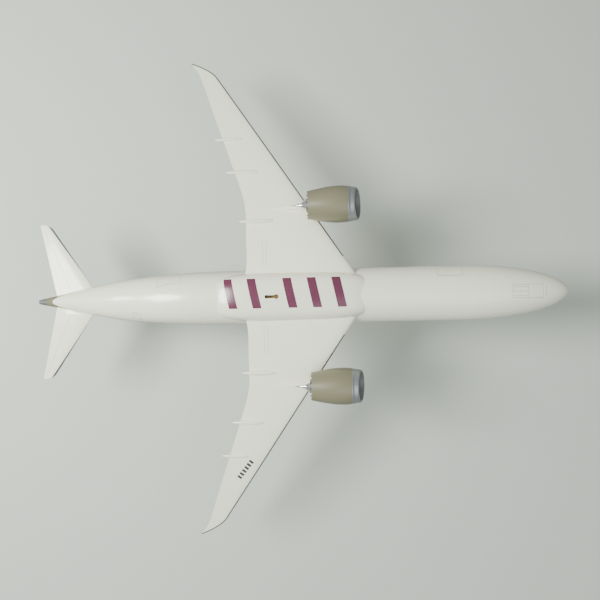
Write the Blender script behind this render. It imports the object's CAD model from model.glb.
import math
import bpy
import bmesh
from mathutils import Matrix, Vector


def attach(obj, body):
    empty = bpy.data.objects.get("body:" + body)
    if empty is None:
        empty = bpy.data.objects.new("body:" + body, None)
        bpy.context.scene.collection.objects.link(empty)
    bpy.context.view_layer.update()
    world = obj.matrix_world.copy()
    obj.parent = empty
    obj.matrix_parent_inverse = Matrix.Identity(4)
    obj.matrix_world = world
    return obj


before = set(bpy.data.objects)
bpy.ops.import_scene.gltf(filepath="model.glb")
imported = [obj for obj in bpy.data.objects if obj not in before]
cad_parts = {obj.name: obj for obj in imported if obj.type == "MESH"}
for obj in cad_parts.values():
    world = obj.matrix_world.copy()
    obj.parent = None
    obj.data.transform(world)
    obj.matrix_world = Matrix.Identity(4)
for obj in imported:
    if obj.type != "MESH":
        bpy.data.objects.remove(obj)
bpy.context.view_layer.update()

mm = 0.001
bodyName = "airframe"

# the few lines of the airframe that the paint and the prints follow, in millimetres and degrees
airframe = {"noseX": 249.0, "axisHeight": 29.0, "wingRootY": 22.0, "wingLeadX": 66.1, "wingSweep": 33.4,
            "wingTrailX": -27.5, "wingBreakY": 83.5, "wingOuterSweep": 20.2, "rakeY": 211.0,
            "rakeCurve": 0.043, "trailRake": 0.015, "breakRound": 10.0, "engineY": 77.9, "engineZ": 6.2}
above = Vector((0, 0, 1))


def point(x, y, z):
    # a place given in millimetres
    return Vector((x * mm, y * mm, z * mm))


def stationX(station):
    # stations count back from the nose
    return airframe["noseX"] - station


def axisZ(height):
    return airframe["axisHeight"] + height


laying = {"mergeWithin": 0.002, "stillWithin": 0.0001}  # millimetres


def pickOnly(piece):
    bpy.ops.object.select_all(action="DESELECT")
    piece.select_set(True)
    bpy.context.view_layer.objects.active = piece


def settle(piece):
    pickOnly(piece)
    bpy.ops.object.transform_apply(location=True, rotation=True, scale=True)


def tidyNormals(piece):
    pickOnly(piece)
    bpy.ops.object.mode_set(mode="EDIT")
    bpy.ops.mesh.select_all(action="SELECT")
    bpy.ops.mesh.remove_doubles(threshold=laying["mergeWithin"] * mm)
    bpy.ops.mesh.normals_make_consistent(inside=False)
    bpy.ops.object.mode_set(mode="OBJECT")


def joinAll(pieces, name):
    bpy.ops.object.select_all(action="DESELECT")
    for piece in pieces:
        piece.select_set(True)
    bpy.context.view_layer.objects.active = pieces[0]
    if len(pieces) > 1:
        bpy.ops.object.join()
    joined = bpy.context.view_layer.objects.active
    joined.name = name
    joined.data.name = name
    return joined


def copyOf(piece):
    twin = piece.copy()
    twin.data = piece.data.copy()
    bpy.context.scene.collection.objects.link(twin)
    return twin


def skinGuide(nodes):
    # a joined copy of some CAD skins, only there to lay the prints on
    guide = joinAll([copyOf(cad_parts[node]) for node in nodes], "skinGuide")
    guide.parent = None
    return guide


def dropUnmoved(piece, before):
    # takes away the corners that found no skin and so stayed where they were
    pickOnly(piece)
    bpy.ops.object.mode_set(mode="EDIT")
    bpy.ops.mesh.select_mode(type="VERT")
    bpy.ops.mesh.select_all(action="DESELECT")
    mesh = bmesh.from_edit_mesh(piece.data)
    for vertex, start in zip(mesh.verts, before):
        vertex.select_set((vertex.co - start).length < laying["stillWithin"] * mm)
    bmesh.update_edit_mesh(piece.data)
    bpy.ops.mesh.delete(type="VERT")
    bpy.ops.object.mode_set(mode="OBJECT")


def layOn(piece, guide, axis, gap, thickness):
    # drops a flat piece onto a skin along one axis, or to the nearest skin, then gives it a thickness
    before = [vertex.co.copy() for vertex in piece.data.vertices]
    wrap = piece.modifiers.new("layOn", "SHRINKWRAP")
    wrap.target = guide
    if axis == "near":
        wrap.wrap_method = "NEAREST_SURFACEPOINT"
    else:
        wrap.wrap_method = "PROJECT"
        wrap.use_project_x = axis == "x"
        wrap.use_project_y = axis == "y"
        wrap.use_project_z = axis == "z"
        wrap.use_negative_direction = True
        wrap.use_positive_direction = True
    wrap.wrap_mode = "ABOVE_SURFACE"
    wrap.offset = gap * mm
    pickOnly(piece)
    bpy.ops.object.modifier_apply(modifier=wrap.name)
    dropUnmoved(piece, before)
    wall = piece.modifiers.new("printThickness", "SOLIDIFY")
    wall.thickness = thickness * mm
    wall.offset = 0
    bpy.ops.object.modifier_apply(modifier=wall.name)
    tidyNormals(piece)
    return piece


def finishPiece(piece, material):
    piece.data.materials.clear()
    piece.data.materials.append(material)
    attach(piece, bodyName)


class Paint:
    # one node material, with short calls for the sums its masks need
    def __init__(self, name):
        self.material = bpy.data.materials.new(name)
        self.material.use_nodes = True
        self.nodes = self.material.node_tree.nodes
        self.links = self.material.node_tree.links
        self.shader = self.nodes["Principled BSDF"]
        self.place = self.nodes.new("ShaderNodeTexCoord").outputs["Object"]

    def put(self, value, socket):
        if isinstance(value, (int, float)):
            socket.default_value = value
        elif isinstance(value, tuple):
            socket.default_value = value if len(value) == 4 else (*value, 1.0)
        else:
            self.links.new(value, socket)

    def sum(self, operation, *values, clamp=False):
        node = self.nodes.new("ShaderNodeMath")
        node.operation = operation
        node.use_clamp = clamp
        for value, socket in zip(values, node.inputs):
            self.put(value, socket)
        return node.outputs[0]

    def axes(self):
        split = self.nodes.new("ShaderNodeSeparateXYZ")
        self.links.new(self.place, split.inputs[0])
        return split.outputs["X"], split.outputs["Y"], split.outputs["Z"]

    def noise(self, size, detail=3.0, roughness=0.5, stretch=None):
        node = self.nodes.new("ShaderNodeTexNoise")
        node.inputs["Scale"].default_value = 1.0 / (size * mm)
        node.inputs["Detail"].default_value = detail
        node.inputs["Roughness"].default_value = roughness
        place = self.place
        if stretch:
            mapping = self.nodes.new("ShaderNodeMapping")
            mapping.inputs["Scale"].default_value = stretch
            self.links.new(place, mapping.inputs["Vector"])
            place = mapping.outputs[0]
        self.links.new(place, node.inputs["Vector"])
        return node.outputs["Fac"]

    def span(self, value, low, high, newLow, newHigh):
        node = self.nodes.new("ShaderNodeMapRange")
        node.clamp = True
        for number, socket in zip((low, high, newLow, newHigh), list(node.inputs)[1:5]):
            socket.default_value = number
        self.links.new(value, node.inputs[0])
        return node.outputs[0]

    def blendColour(self, share, first, second):
        node = self.nodes.new("ShaderNodeMix")
        node.data_type = "RGBA"
        self.put(share, node.inputs[0])
        self.put(first, node.inputs[6])
        self.put(second, node.inputs[7])
        return node.outputs[2]

    def blendNumber(self, share, first, second):
        node = self.nodes.new("ShaderNodeMix")
        node.data_type = "FLOAT"
        self.put(share, node.inputs[0])
        self.put(first, node.inputs[2])
        self.put(second, node.inputs[3])
        return node.outputs[0]

    def bump(self, height, strength, distance):
        node = self.nodes.new("ShaderNodeBump")
        node.inputs["Strength"].default_value = strength
        node.inputs["Distance"].default_value = distance * mm
        self.links.new(height, node.inputs["Height"])
        self.links.new(node.outputs[0], self.shader.inputs["Normal"])

    def set(self, **values):
        names = {"colour": "Base Color", "rough": "Roughness", "metal": "Metallic", "coat": "Coat Weight",
                 "coatRough": "Coat Roughness", "specular": "Specular IOR Level"}
        for key, value in values.items():
            self.put(value, self.shader.inputs[names[key]])


def aboveEdge(paint, value, edge, softness):
    # 0 below the edge and 1 above it, with the values in metres
    return paint.sum("MULTIPLY_ADD", paint.sum("SUBTRACT", value, edge), 1.0 / softness, 0.5, clamp=True)


def glossPaint(name, colour, zones=(), rough=(0.19, 0.33), metal=0.0, coat=0.35):
    # sprayed gloss paint: faint tone drift, settled dust, orange peel
    # each zone is (mask maker, colour, roughness, metallic)
    look = {"drift": 90.0, "peel": 1.6, "dust": 14.0, "shade": 0.955, "coatRough": 0.08,
            "peelBump": (0.10, 0.05)}
    paint = Paint(name)
    drift = paint.noise(look["drift"], 2.0)
    darker = tuple(channel * look["shade"] for channel in colour)
    tone = paint.blendColour(paint.span(drift, 0.3, 0.7, 0.0, 1.0), darker, colour)
    dust = paint.noise(look["dust"], 5.0, 0.6)
    rough = paint.span(dust, 0.3, 0.75, *rough)
    for makeMask, zoneColour, zoneRough, zoneMetal in zones:
        mask = makeMask(paint)
        tone = paint.blendColour(mask, tone, zoneColour)
        rough = paint.blendNumber(mask, rough, zoneRough)
        metal = paint.blendNumber(mask, metal, zoneMetal)
    paint.set(colour=tone, rough=rough, metal=metal, coat=coat, coatRough=look["coatRough"])
    paint.bump(paint.noise(look["peel"], 2.0), *look["peelBump"])
    return paint.material


def metalFinish(name, colour, rough, grain, stretch=(1.0, 1.0, 1.0), tint=0.9, metal=1.0):
    # streaked metal, or with a low metal value a plain dull finish; stretch lays the streaks along an axis
    paint = Paint(name)
    streaks = paint.noise(grain, 4.0, 0.6, stretch)
    darker = tuple(channel * tint for channel in colour)
    paint.set(colour=paint.blendColour(paint.span(streaks, 0.3, 0.7, 0.0, 1.0), darker, colour),
              rough=paint.span(streaks, 0.25, 0.75, rough * 0.8, rough * 1.3), metal=metal)
    paint.bump(streaks, 0.12, 0.03)
    return paint.material


# the masks read the airframe's own coordinates; this is how soft their edges are, in millimetres
paintEdge = {"metal": 0.25, "plain": 0.3, "inlet": 0.5, "mark": 0.1}


def leadingEdgeStrip(paint):
    # bare metal along the wing's leading edge, wider on the raked tip
    strip = {"width": 1.5, "tipGrowth": 0.08, "start": 34.0}
    x, y, z = paint.axes()
    out = paint.sum("ABSOLUTE", y)
    slope = math.tan(math.radians(airframe["wingSweep"]))
    straight = paint.sum("MULTIPLY_ADD", paint.sum("SUBTRACT", out, airframe["wingRootY"] * mm), -slope,
                         (airframe["wingLeadX"] - strip["width"]) * mm)
    raked = paint.sum("MAXIMUM", paint.sum("SUBTRACT", out, airframe["rakeY"] * mm), 0.0)
    drop = paint.sum("MULTIPLY", paint.sum("MULTIPLY", raked, raked), -airframe["rakeCurve"] / mm)
    grown = paint.sum("MULTIPLY_ADD", raked, -strip["tipGrowth"], drop)
    edge = paint.sum("ADD", straight, grown)
    onMetal = aboveEdge(paint, x, edge, paintEdge["metal"] * mm)
    clearOfRoot = aboveEdge(paint, out, strip["start"] * mm, paintEdge["plain"] * mm)
    return paint.sum("MULTIPLY", onMetal, clearOfRoot)


def tailEdgeStrip(paint):
    # the same along the tailplane's leading edge
    strip = {"rootX": -174.6, "rootY": 9.0, "tipX": -225.4, "tipY": 74.4, "width": 1.6, "start": 22.0}
    x, y, z = paint.axes()
    out = paint.sum("ABSOLUTE", y)
    slope = (strip["tipX"] - strip["rootX"]) / (strip["tipY"] - strip["rootY"])
    edge = paint.sum("MULTIPLY_ADD", paint.sum("SUBTRACT", out, strip["rootY"] * mm), slope,
                     (strip["rootX"] - strip["width"]) * mm)
    return paint.sum("MULTIPLY", aboveEdge(paint, x, edge, paintEdge["metal"] * mm),
                     aboveEdge(paint, out, strip["start"] * mm, paintEdge["plain"] * mm))


def tailColourZone(paint):
    # the fin's colour sweeps down round the tail and closes in a curve under it
    zone = {"keelX": -218.5, "keelZ": 35.2, "slope": 60.0, "crownX": -140.0, "crownZ": 54.0,
            "crownSlope": 2.6}
    x, y, z = paint.axes()
    under = paint.sum("MULTIPLY_ADD", paint.sum("SUBTRACT", z, zone["keelZ"] * mm), zone["slope"],
                      zone["keelX"] * mm)
    ahead = paint.sum("MULTIPLY_ADD", paint.sum("SUBTRACT", z, zone["crownZ"] * mm), zone["crownSlope"],
                      zone["crownX"] * mm)
    return aboveEdge(paint, paint.sum("MINIMUM", under, ahead), x, paintEdge["plain"] * mm)


def engineRound(paint):
    # offsets from the nearer engine's axis, and the distance from it
    x, y, z = paint.axes()
    side = paint.sum("SUBTRACT", paint.sum("ABSOLUTE", y), airframe["engineY"] * mm)
    up = paint.sum("SUBTRACT", z, airframe["engineZ"] * mm)
    squares = paint.sum("ADD", paint.sum("MULTIPLY", side, side), paint.sum("MULTIPLY", up, up))
    return side, up, paint.sum("SQRT", squares)


def insideInlet(paint):
    # the dark inside of the inlet, ahead of and round the fan
    inlet = {"radius": 12.6, "backX": 44.0}
    x, y, z = paint.axes()
    side, up, radius = engineRound(paint)
    return paint.sum("MULTIPLY", aboveEdge(paint, inlet["radius"] * mm, radius, paintEdge["inlet"] * mm),
                     aboveEdge(paint, x, inlet["backX"] * mm, paintEdge["plain"] * mm))


def spiralMark(paint):
    # a pale comma on the spinner
    mark = {"inner": 0.8, "outer": 3.0, "wind": 1.6, "low": 0.72, "high": 0.8}
    side, up, radius = engineRound(paint)
    angle = paint.sum("ARCTAN2", up, side)
    turn = paint.sum("MULTIPLY_ADD", radius, mark["wind"] / mm, angle)
    wave = paint.sum("SINE", turn)
    inRange = paint.sum("MULTIPLY", aboveEdge(paint, radius, mark["inner"] * mm, paintEdge["mark"] * mm),
                        aboveEdge(paint, mark["outer"] * mm, radius, paintEdge["mark"] * mm))
    return paint.sum("MULTIPLY", paint.span(wave, mark["low"], mark["high"], 0.0, 1.0), inRange)


print("paints and metals")
colours = {"white": (0.885, 0.89, 0.735), "greige": (0.180, 0.172, 0.106), "inletDark": (0.205, 0.212, 0.214),
           "edgeMetal": (0.34, 0.35, 0.345), "burgundy": (0.125, 0.030, 0.062)}
whiteFuselage = glossPaint("whiteFuselagePaint", colours["white"],
                           [(tailColourZone, colours["greige"], 0.25, 0.0)])
whiteWing = glossPaint("whiteWingPaint", colours["white"],
                       [(leadingEdgeStrip, colours["edgeMetal"], 0.28, 1.0)])
whiteTailplane = glossPaint("whiteTailplanePaint", colours["white"],
                            [(tailEdgeStrip, colours["edgeMetal"], 0.28, 1.0)])
whitePlain = glossPaint("whitePaint", colours["white"])
greigePaint = glossPaint("greigePaint", colours["greige"])
cowlPaint = glossPaint("cowlPaint", colours["greige"], [(insideInlet, colours["inletDark"], 0.5, 0.0)],
                       rough=(0.34, 0.44), coat=0.08)
tailGrey = metalFinish("tailCapGrey", (0.125, 0.135, 0.13), 0.45, 3.0, metal=0.15)
lipMetal = glossPaint("inletLipMetal", (0.36, 0.375, 0.385), [(insideInlet, colours["inletDark"], 0.5, 0.2)],
                      rough=(0.38, 0.46), metal=0.8, coat=0.0)
nozzleMetal = metalFinish("nozzleMetal", (0.80, 0.81, 0.82), 0.16, 2.0, (0.2, 1.0, 1.0))
fanMetal = metalFinish("fanMetal", (0.10, 0.105, 0.115), 0.30, 1.5, metal=0.85)
coreMetal = metalFinish("coreMetal", (0.16, 0.165, 0.17), 0.42, 2.5, metal=0.5)
steelFinish = metalFinish("steelFinish", (0.50, 0.51, 0.53), 0.28, 1.2, (1.0, 0.2, 1.0))
sleeveFinish = metalFinish("sleeveAluminium", (0.70, 0.71, 0.72), 0.35, 1.5, (1.0, 0.15, 1.0))
brassFinish = metalFinish("socketBrass", (0.42, 0.30, 0.13), 0.34, 1.2, (1.0, 1.0, 0.3), tint=0.7)
spinnerPaint = glossPaint("spinnerPaint", (0.02, 0.02, 0.022), [(spiralMark, (0.75, 0.76, 0.74), 0.3, 0.0)])
burgundyPrint = glossPaint("burgundyPrint", colours["burgundy"], coat=0.1)
darkPrint = glossPaint("darkPrint", (0.045, 0.048, 0.052))
panelLine = metalFinish("panelLine", (0.36, 0.37, 0.34), 0.5, 2.0, metal=0.0)
finLine = metalFinish("finLine", (0.10, 0.095, 0.065), 0.5, 2.0, metal=0.0)


def barePlastic():
    paint = Paint("barePlastic")
    grain = paint.noise(0.6, 4.0, 0.6)
    paint.set(colour=paint.blendColour(grain, (0.56, 0.56, 0.53), (0.66, 0.66, 0.63)),
              rough=paint.span(grain, 0.3, 0.7, 0.45, 0.6))
    paint.bump(grain, 0.15, 0.03)
    return paint.material


def cockpitGlass():
    paint = Paint("cockpitGlass")
    film = paint.noise(6.0, 3.0)
    paint.set(colour=paint.blendColour(film, (0.012, 0.014, 0.018), (0.03, 0.034, 0.04)),
              rough=paint.span(film, 0.3, 0.7, 0.05, 0.12), coat=0.8, coatRough=0.03)
    paint.bump(film, 0.04, 0.02)
    return paint.material


plasticFinish = barePlastic()
glassFinish = cockpitGlass()

nodeFinish = {"fuselage_left": whiteFuselage, "fuselage_right": whiteFuselage, "tail_cap": tailGrey,
              "fuselage_dowels": plasticFinish, "belly_fairing": whitePlain, "stand_socket": brassFinish,
              "wing_joiner": sleeveFinish, "wing_screws": steelFinish, "fin": greigePaint,
              "tail_rod": steelFinish}
sideFinish = {"wing": whiteWing, "tailplane": whiteTailplane, "fan_cowl": cowlPaint, "inlet_lip": lipMetal,
              "fan": fanMetal, "spinner": spinnerPaint, "fan_pin": steelFinish, "engine_core": coreMetal,
              "exhaust_nozzle": nozzleMetal, "exhaust_plug": nozzleMetal, "pylon": whitePlain,
              "flap_fairing_inner": whitePlain, "flap_fairing_middle": whitePlain,
              "flap_fairing_outer": whitePlain}
for stem, finish in sideFinish.items():
    nodeFinish[stem + "_left"] = finish
    nodeFinish[stem + "_right"] = finish
for node, finish in nodeFinish.items():
    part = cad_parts[node]
    part.data.materials.clear()
    part.data.materials.append(finish)


def moveCorners(piece, order, places):
    # takes the listed vertices to their places, one at a time
    bpy.ops.object.mode_set(mode="EDIT")
    for index, place in zip(order, places):
        bpy.ops.mesh.select_all(action="DESELECT")
        mesh = bmesh.from_edit_mesh(piece.data)
        mesh.verts.ensure_lookup_table()
        mesh.verts[index].select_set(True)
        offset = place - mesh.verts[index].co
        bmesh.update_edit_mesh(piece.data)
        bpy.ops.transform.translate(value=offset)
    bpy.ops.object.mode_set(mode="OBJECT")


def cornerPiece(name, places):
    # a flat piece with four corners, given in turn round it
    bpy.ops.object.select_all(action="DESELECT")
    bpy.ops.mesh.primitive_plane_add(size=1.0 * mm)
    piece = bpy.context.object
    piece.name = name
    settle(piece)
    moveCorners(piece, (0, 1, 3, 2), places)
    return piece


def cutUp(piece, longerThan, cuts):
    # subdivides the edges that are longer than a length
    pickOnly(piece)
    bpy.ops.object.mode_set(mode="EDIT")
    bpy.ops.mesh.select_mode(type="EDGE")
    bpy.ops.mesh.select_all(action="DESELECT")
    mesh = bmesh.from_edit_mesh(piece.data)
    for edge in mesh.edges:
        edge.select_set(edge.calc_length() > longerThan * mm)
    bmesh.update_edit_mesh(piece.data)
    bpy.ops.mesh.subdivide(number_cuts=cuts)
    bpy.ops.mesh.select_mode(type="VERT")
    bpy.ops.object.mode_set(mode="OBJECT")
    return piece


def strip(start, end, width, normal, every=2.5):
    # a straight thin strip, cut up along its length so that it can follow a skin
    along = (end - start).normalized()
    half = along.cross(normal).normalized() * width * mm / 2
    piece = cornerPiece("line", (start - half, end - half, end + half, start + half))
    length = (end - start).length / mm
    return cutUp(piece, width * 1.5, max(2, int(length / every)))


def chainOf(rows, width, normal):
    # strips from each place to the next
    return [strip(first, second, width, normal) for first, second in zip(rows, rows[1:])]


def roundedPlane(name, width, height, corner, segments):
    # a flat plane with rounded corners, centred on the origin and left in edit mode
    bpy.ops.object.select_all(action="DESELECT")
    bpy.ops.mesh.primitive_plane_add(size=1.0 * mm)
    plane = bpy.context.object
    plane.name = name
    plane.scale = (width, height, 1)
    settle(plane)
    bpy.ops.object.mode_set(mode="EDIT")
    bpy.ops.mesh.select_all(action="SELECT")
    bpy.ops.mesh.bevel(affect="VERTICES", offset=corner * mm, segments=segments)
    bpy.ops.mesh.select_all(action="SELECT")
    return plane


def ringPiece(name, width, height, corner, line):
    # a rounded outline, flat in X and Y
    ring = roundedPlane(name, width, height, corner, 3)
    bpy.ops.mesh.inset(thickness=line * mm)
    bpy.ops.mesh.delete(type="FACE")
    bpy.ops.mesh.select_all(action="SELECT")
    bpy.ops.mesh.subdivide(number_cuts=3)
    bpy.ops.object.mode_set(mode="OBJECT")
    return ring


def panePiece(name, width, height, corner):
    # a small rounded pane with an inner ring and a middle point, flat in X and Y
    pane = roundedPlane(name, width, height, corner, 2)
    bpy.ops.mesh.inset(thickness=width * 0.25 * mm)
    bpy.ops.mesh.poke()
    bpy.ops.object.mode_set(mode="OBJECT")
    return pane


def standAt(piece, place, side):
    # turns a flat piece upright beside the model: side is 1 to port and -1 to starboard
    piece.rotation_euler = (math.radians(90), 0, 0 if side < 0 else math.radians(180))
    piece.location = place
    settle(piece)
    return piece


print("belly bars")
bellyBars = {"starts": (-47.0, -26.0, 5.0, 26.0, 47.0), "width": 13.0, "low": -15.8, "high": 9.8,
             "slant": 5.5, "seat": -30.0, "cut": 2.0, "cuts": 19, "gap": 0.09, "thickness": 0.06}


def bellyBarPrint():
    bars = []
    seat, low, high, slant = (bellyBars[key] for key in ("seat", "low", "high", "slant"))
    for start in bellyBars["starts"]:
        end = start + bellyBars["width"]
        corners = ((start, low), (end - slant, low), (end, high), (start + slant, high))
        bar = cornerPiece("bellyBar", [point(x, y, seat) for x, y in corners])
        bars.append(cutUp(bar, bellyBars["cut"], bellyBars["cuts"]))
    guide = skinGuide(["belly_fairing"])
    bars = layOn(joinAll(bars, "bellyBars"), guide, "z", bellyBars["gap"], bellyBars["thickness"])
    bpy.data.objects.remove(guide)
    finishPiece(bars, burgundyPrint)


bellyBarPrint()

print("underwing dashes")
wingDashes = {"start": (-41.7, 169.0), "end": (-27.4, 150.5), "count": 6, "tall": 4.4, "seat": -30.0,
              "fill": 0.58, "cut": 0.8, "cuts": 4, "gap": 0.07, "thickness": 0.05}


def wingDashPrint():
    seat = wingDashes["seat"]
    start, end = point(*wingDashes["start"], seat), point(*wingDashes["end"], seat)
    along = (end - start) / wingDashes["count"]
    up = above.cross(along).normalized() * wingDashes["tall"] * mm
    dashes = []
    for number in range(wingDashes["count"]):
        low = start + along * number
        high = low + along * wingDashes["fill"]
        dash = cornerPiece("dash", (low, high, high - up, low - up))
        dashes.append(cutUp(dash, wingDashes["cut"], wingDashes["cuts"]))
    guide = skinGuide(["wing_left"])
    row = layOn(joinAll(dashes, "underwingDashes"), guide, "z", wingDashes["gap"], wingDashes["thickness"])
    bpy.data.objects.remove(guide)
    finishPiece(row, darkPrint)


wingDashPrint()

print("cabin windows")
fuselageSides = ((1, "Port", "fuselage_left"), (-1, "Starboard", "fuselage_right"))
cabin = {"first": 62.0, "last": 372.0, "pitch": 4.3, "height": 5.5, "doors": (82.0, 150.0, 300.0, 376.0),
         "doorGap": 5.2, "wide": 1.9, "tall": 3.1, "corner": 0.85, "outside": 60.0, "gap": 0.05,
         "thickness": 0.04}


def cabinWindows():
    pattern = panePiece("cabinWindow", cabin["wide"], cabin["tall"], cabin["corner"])
    count = int((cabin["last"] - cabin["first"]) / cabin["pitch"]) + 1
    stations = [cabin["first"] + number * cabin["pitch"] for number in range(count)]
    stations = [station for station in stations
                if min(abs(station - door) for door in cabin["doors"]) > cabin["doorGap"]]
    for side, name, half in fuselageSides:
        outside, height = side * cabin["outside"], axisZ(cabin["height"])
        places = [point(stationX(station), outside, height) for station in stations]
        row = [standAt(copyOf(pattern), place, side) for place in places]
        guide = skinGuide([half])
        windows = layOn(joinAll(row, "cabinWindows" + name), guide, "y", cabin["gap"], cabin["thickness"])
        bpy.data.objects.remove(guide)
        finishPiece(windows, darkPrint)
    bpy.data.objects.remove(pattern)


cabinWindows()

print("door outlines")
# each door is (station, height of its middle, width, height)
doorRings = {"line": 0.28, "corner": 1.1, "outside": 60.0, "gap": 0.03, "thickness": 0.03,
             "cabin": [(82.0, 3.5, 5.6, 13.0), (150.0, 3.5, 5.6, 13.0), (300.0, 3.5, 5.6, 13.0),
                       (376.0, 4.5, 5.2, 12.0)],
             "starboardCargo": [(100.8, -14.0, 21.6, 11.5), (346.6, -14.1, 21.5, 9.2)],
             "portBulk": [(379.0, -8.4, 7.2, 6.6)]}


def doorOutlines():
    extra = {1: doorRings["portBulk"], -1: doorRings["starboardCargo"]}
    for side, name, half in fuselageSides:
        rings = []
        for station, height, width, tall in doorRings["cabin"] + extra[side]:
            ring = ringPiece("door", width, tall, doorRings["corner"], doorRings["line"])
            place = point(stationX(station), side * doorRings["outside"], axisZ(height))
            rings.append(standAt(ring, place, side))
        guide = skinGuide([half])
        outlines = layOn(joinAll(rings, "doorOutlines" + name), guide, "y", doorRings["gap"],
                         doorRings["thickness"])
        bpy.data.objects.remove(guide)
        finishPiece(outlines, panelLine)


doorOutlines()

print("panel lines")
lineSkin = {"gap": 0.02, "thickness": 0.03}  # how the wing and tail lines lie on the skin
fromAbove, fromBelow = 160.0, -60.0  # heights the lines are dropped from


def wingTrailX(y):
    # straight inner trailing edge, a soft break, then the swept outer one
    past = y - airframe["wingBreakY"]
    swept = (past + math.hypot(past, airframe["breakRound"])) / 2
    rake = max(0.0, y - airframe["rakeY"])
    slope = math.tan(math.radians(airframe["wingOuterSweep"]))
    return airframe["wingTrailX"] - slope * swept - airframe["trailRake"] * rake ** 2


def wingLeadX(y):
    # the straight part of the leading edge
    return airframe["wingLeadX"] - math.tan(math.radians(airframe["wingSweep"])) * (y - airframe["wingRootY"])


# the In numbers are distances in from the wing's edges, the Ys are where a line bends, and the Cuts cross it
wingLines = {"flapIn": 14.5, "flapStep": 3.2, "spoilerIn": 25.0, "slatIn": 6.5, "width": 0.24, "flapEnd": 0.8,
             "slatEnd": 1.8,
             "flapYs": (26.0, 50.0, 74.0, 84.0, 96.0, 120.0, 150.0, 180.0, 204.0),
             "flapCuts": (26.0, 64.5, 80.0, 94.0, 138.0, 168.0, 204.0),
             "spoilerYs": (34.0, 60.0, 78.0, 90.0, 120.0, 142.0),
             "spoilerCuts": (34.0, 60.0, 90.0, 112.0, 142.0),
             "slatYs": (30.0, 120.0, 206.0), "slatCuts": (30.0, 68.0, 90.0, 128.0, 166.0, 206.0)}


def innerFlapLines(side):
    # the two close lines ahead of the inner flap, on the underside
    lines = []
    for ahead in (wingLines["flapIn"], wingLines["flapIn"] + wingLines["flapStep"]):
        rows = [point(wingTrailX(y) + ahead, side * y, fromBelow) for y in wingLines["flapYs"][:2]]
        lines += chainOf(rows, wingLines["width"], above)
    return lines


def wingLineSet(side):
    # flap, spoiler and slat lines on top of a wing
    flapIn, spoilerIn, slatIn, width = (wingLines[key] for key in ("flapIn", "spoilerIn", "slatIn", "width"))

    def ahead(y, distance):
        return point(wingTrailX(y) + distance, side * y, fromAbove)

    def behind(y, distance):
        return point(wingLeadX(y) - distance, side * y, fromAbove)

    lines = chainOf([ahead(y, flapIn) for y in wingLines["flapYs"]], width, above)
    lines += chainOf([behind(y, slatIn) for y in wingLines["slatYs"]], width, above)
    for y in wingLines["flapCuts"]:
        lines.append(strip(ahead(y, wingLines["flapEnd"]), ahead(y, flapIn), width, above))
    for y in wingLines["slatCuts"]:
        lines.append(strip(behind(y, wingLines["slatEnd"]), behind(y, slatIn), width, above))
    lines += chainOf([ahead(y, spoilerIn) for y in wingLines["spoilerYs"]], width, above)
    for y in wingLines["spoilerCuts"]:
        lines.append(strip(ahead(y, flapIn), ahead(y, spoilerIn), width, above))
    return lines


def wingPanelLines():
    for side, name in ((1, "left"), (-1, "right")):
        guide = skinGuide(["wing_" + name])
        for strips, face in ((wingLineSet(side), "Upper"), (innerFlapLines(side), "Lower")):
            lines = joinAll(strips, "wingLines" + face + name.capitalize())
            finishPiece(layOn(lines, guide, "z", **lineSkin), panelLine)
        bpy.data.objects.remove(guide)


wingPanelLines()

# places are (x, y) on the tailplane and (x, z) on the fin; the ends are (front, back, y)
tailLines = {"hinge": ((-202.0, 13.0), (-230.5, 70.0)), "width": 0.24,
             "ends": ((-202.0, -214.0, 13.0), (-230.5, -234.0, 70.0)),
             "rudder": ((-199.5, 58.5), (-227.0, 116.0), (-235.0, 116.0)), "outside": 40.0}


def tailplaneLines():
    width = tailLines["width"]
    for side, name in ((1, "left"), (-1, "right")):
        guide = skinGuide(["tailplane_" + name])
        for seat, face in ((fromAbove, "Upper"), (fromBelow, "Lower")):
            lines = chainOf([point(x, side * y, seat) for x, y in tailLines["hinge"]], width, above)
            for front, back, y in tailLines["ends"]:
                lines.append(strip(point(front, side * y, seat), point(back, side * y, seat), width, above))
            laid = layOn(joinAll(lines, "tailplaneLines" + face + name.capitalize()), guide, "z", **lineSkin)
            finishPiece(laid, panelLine)
        bpy.data.objects.remove(guide)


tailplaneLines()


def rudderLines():
    for side, name, half in fuselageSides:
        sideways = Vector((0, side, 0))
        rows = [point(x, side * tailLines["outside"], z) for x, z in tailLines["rudder"]]
        guide = skinGuide(["fin"])
        lines = joinAll(chainOf(rows, tailLines["width"], sideways), "rudderLines" + name)
        layOn(lines, guide, "y", **lineSkin)
        bpy.data.objects.remove(guide)
        finishPiece(lines, finLine)


rudderLines()

noseDoors = {"front": 224.0, "back": 198.0, "half": 5.6, "cross": 211.3, "foreLine": 226.6, "foreShare": 0.8,
             "width": 0.3, "gap": 0.03, "thickness": 0.03}


def noseDoorLines():
    front, back, cross, half = (noseDoors[key] for key in ("front", "back", "cross", "half"))
    fore, foreHalf = noseDoors["foreLine"], half * noseDoors["foreShare"]
    runs = [((back, -half), (front, -half)), ((back, half), (front, half)), ((back, -half), (back, half)),
            ((front, -half), (front, half)), ((cross, -half), (cross, half)), ((back, 0.0), (cross, 0.0)),
            ((fore, -foreHalf), (fore, foreHalf))]
    third = half / 3
    runs += [((back, y), (cross, y)) for y in (-2 * third, 2 * third)]
    lines = [strip(point(*first, fromBelow), point(*second, fromBelow), noseDoors["width"], above)
             for first, second in runs]
    guide = skinGuide(["fuselage_left", "fuselage_right"])
    laid = layOn(joinAll(lines, "noseDoorLines"), guide, "z", noseDoors["gap"], noseDoors["thickness"])
    bpy.data.objects.remove(guide)
    finishPiece(laid, panelLine)


noseDoorLines()

print("cockpit windows")
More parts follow.
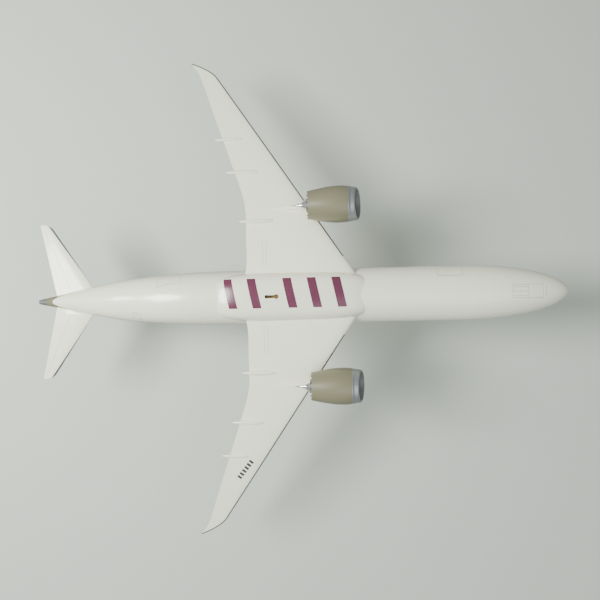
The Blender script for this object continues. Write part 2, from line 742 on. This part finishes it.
# corners of the port panes as (station, across, height), taken in turn round each pane
cockpit = {"panes": [((10.2, 0.7, 8.6), (20.0, 0.7, 13.8), (24.5, 9.5, 12.6), (15.5, 10.2, 7.2)),
                     ((16.8, 11.0, 6.8), (25.8, 10.4, 12.2), (33.0, 14.5, 10.3), (29.0, 16.8, 6.2))],
           "lift": (2.0, 1.6, 2.9), "cut": 1.2, "cuts": 9, "gap": 0.05, "thickness": 0.04}


def cockpitWindows():
    # the corners are lifted off the nose, so that the outer skin is the nearest one
    ahead, outward, up = cockpit["lift"]
    panes = []
    for side in (1, -1):
        for corners in cockpit["panes"]:
            places = [point(stationX(station) + ahead, side * (across + outward), axisZ(height) + up)
                      for station, across, height in corners]
            pane = cornerPiece("pane", places)
            panes.append(cutUp(pane, cockpit["cut"], cockpit["cuts"]))
    guide = skinGuide(["fuselage_left", "fuselage_right"])
    glazing = layOn(joinAll(panes, "cockpitWindows"), guide, "near", cockpit["gap"], cockpit["thickness"])
    bpy.data.objects.remove(guide)
    finishPiece(glazing, glassFinish)


cockpitWindows()

print("camera")
viewCamera = {"distance": 496.7, "tilt": 4.6, "roll": 1.27, "aimX": 17.9, "aimY": 3.4, "lens": 33.0,
              "sensor": 36.0}


def placeCamera():
    # looks up at the belly, with the nose to the right
    tilt = math.radians(viewCamera["tilt"])
    roll = math.radians(viewCamera["roll"])
    away = Vector((-math.sin(tilt), 0, math.cos(tilt)))
    ahead = Vector((math.cos(tilt), 0, math.sin(tilt)))
    starboard = Vector((0, -1, 0))
    right = ahead * math.cos(roll) - starboard * math.sin(roll)
    up = ahead * math.sin(roll) + starboard * math.cos(roll)
    aim = point(viewCamera["aimX"], viewCamera["aimY"], airframe["axisHeight"])
    lens = bpy.data.cameras.new("viewCamera")
    lens.lens = viewCamera["lens"]
    lens.sensor_width = viewCamera["sensor"]
    lens.clip_start = 0.01
    camera = bpy.data.objects.new("viewCamera", lens)
    bpy.context.scene.collection.objects.link(camera)
    turned = Matrix((right, up, -away)).transposed().to_4x4()
    camera.matrix_world = Matrix.Translation(aim - away * viewCamera["distance"] * mm) @ turned
    bpy.context.scene.camera = camera


placeCamera()

print("stage and lights")
# the size is in metres, the heights in millimetres
stage = {"wallZ": 128.0, "floorZ": -13.0, "size": 6.0, "wall": (0.535, 0.58, 0.525),
         "floor": (0.66, 0.68, 0.65), "sky": (0.82, 0.86, 0.83, 1.0), "skyPower": 0.55}


def oneSidedFinish(name, colour):
    # shows its front only, so it never hides the model from behind
    paint = Paint(name)
    grain = paint.noise(30.0, 4.0)
    darker = tuple(channel * 0.97 for channel in colour)
    paint.set(colour=paint.blendColour(grain, darker, colour), rough=0.85, specular=0.1)
    facing = paint.nodes.new("ShaderNodeNewGeometry").outputs["Backfacing"]
    clear = paint.nodes.new("ShaderNodeBsdfTransparent")
    mix = paint.nodes.new("ShaderNodeMixShader")
    paint.links.new(facing, mix.inputs[0])
    paint.links.new(paint.shader.outputs[0], mix.inputs[1])
    paint.links.new(clear.outputs[0], mix.inputs[2])
    paint.links.new(mix.outputs[0], paint.nodes["Material Output"].inputs["Surface"])
    return paint.material


def stageSheet(name, height, faceDown, colour):
    bpy.ops.object.select_all(action="DESELECT")
    bpy.ops.mesh.primitive_plane_add(size=stage["size"], location=(0, 0, height * mm))
    sheet = bpy.context.object
    sheet.name = name
    settle(sheet)
    if faceDown:
        bpy.ops.object.mode_set(mode="EDIT")
        bpy.ops.mesh.select_all(action="SELECT")
        bpy.ops.mesh.flip_normals()
        bpy.ops.object.mode_set(mode="OBJECT")
    sheet.data.materials.append(oneSidedFinish(name + "Finish", colour))
    sheet.visible_shadow = False
    sheet.visible_glossy = False
    sheet.visible_diffuse = False
    sheet.visible_transmission = False


def softLight(name, place, aim, size, power, colour=(1.0, 1.0, 1.0), inGloss=True):
    lamp = bpy.data.lights.new(name, "AREA")
    lamp.shape = "DISK"
    lamp.size = size * mm
    lamp.energy = power
    lamp.color = colour
    light = bpy.data.objects.new(name, lamp)
    bpy.context.scene.collection.objects.link(light)
    light.visible_glossy = inGloss
    start = point(*place)
    turned = (point(*aim) - start).to_track_quat("-Z", "Y").to_matrix().to_4x4()
    light.matrix_world = Matrix.Translation(start) @ turned


stageSheet("backdropAbove", stage["wallZ"], True, stage["wall"])
stageSheet("paleFloor", stage["floorZ"], False, stage["floor"])
softLight("keyLight", (-640, -90, -700), (0, 0, 40), 460, 18.0, (1.0, 0.995, 0.965))
softLight("fillLight", (300, 380, -760), (0, 0, 40), 800, 2.6, (0.96, 0.98, 1.0))
softLight("topLight", (200, -350, 1000), (0, 0, 30), 700, 4.0, inGloss=False)
softLight("topFill", (-500, 500, 800), (0, 0, 30), 800, 2.5, inGloss=False)
world = bpy.data.worlds.new("paleRoom")
world.use_nodes = True
world.node_tree.nodes["Background"].inputs[0].default_value = stage["sky"]
world.node_tree.nodes["Background"].inputs[1].default_value = stage["skyPower"]
bpy.context.scene.world = world
